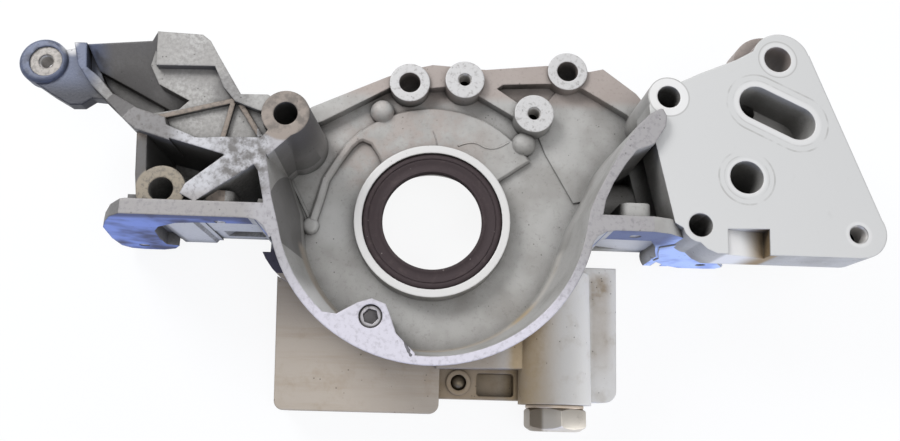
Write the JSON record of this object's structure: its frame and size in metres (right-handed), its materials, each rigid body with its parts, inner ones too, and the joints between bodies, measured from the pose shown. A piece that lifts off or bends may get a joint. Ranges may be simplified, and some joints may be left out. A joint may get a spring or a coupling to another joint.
{
  "type": "engine oil pump with front case",
  "caption": "Die-cast engine front case with a built-in gerotor oil pump, crank seal, relief valve, pan rail wings and an oil filter mounting face.",
  "frame": {"origin": "crank axis at the face that bolts to the engine block", "axes": "+Z along the crank axis towards the front of the engine, +Y up, +X to the right seen from the front"},
  "size_m": [0.3997, 0.1893, 0.076],
  "materials": {
    "case_aluminium": "die-cast, lightly blasted, machined faces brighter",
    "seal_rubber": "moulded, satin",
    "seal_steel": "pressed",
    "garter_steel": "drawn wire",
    "rotor_steel": "sintered, ground faces",
    "outer_rotor_steel": "sintered, ground faces",
    "cover_iron": "ground",
    "screw_steel": "zinc plated",
    "dowel_steel": "ground",
    "plunger_steel": "ground and hardened",
    "spring_steel": "drawn wire",
    "plug_steel": "zinc plated, worn",
    "gasket_copper": "annealed copper",
    "socket_plug_steel": "plain",
    "ball_steel": "polished, dulled",
    "core_plug_steel": "pressed",
    "o_ring_rubber": "moulded"
  },
  "bodies": {
    "case": {"front_case": "case_aluminium", "crank_seal_rubber": "seal_rubber", "crank_seal_case": "seal_steel", "crank_seal_spring": "garter_steel", "pump_cover": "cover_iron", "cover_screws": "screw_steel", "cover_dowels": "dowel_steel", "relief_spring": "spring_steel", "relief_plug": "plug_steel", "relief_plug_gasket": "gasket_copper", "bowl_plug": "socket_plug_steel", "gallery_ball_plug": "ball_steel", "delivery_core_plug": "core_plug_steel", "gallery_o_ring": "o_ring_rubber"},
    "inner_rotor": {"inner_rotor": "rotor_steel"},
    "outer_rotor": {"outer_rotor": "outer_rotor_steel"},
    "relief_plunger": {"relief_plunger": "plunger_steel"}
  },
  "joints": [
    {"name": "inner_rotor_spin", "type": "hinge", "parent": "case", "child": "inner_rotor", "pos_m": [0, 0, 0.01455], "axis": [0, 0, 1], "continuous": true},
    {"name": "outer_rotor_spin", "type": "hinge", "parent": "case", "child": "outer_rotor", "pos_m": [0, 0.003, 0.01455], "axis": [0, 0, 1], "continuous": true},
    {"name": "relief_opening", "type": "slide", "parent": "case", "child": "relief_plunger", "axis": [0, -1, 0], "range_m": [0, 0.009], "stiffness_N_per_m": 2000, "springref_m": -0.0005, "deforming": ["relief_spring"]}
  ],
  "couplings": [
    {"joint": "outer_rotor_spin", "follows": "inner_rotor_spin", "ratio": 0.9}
  ]
}
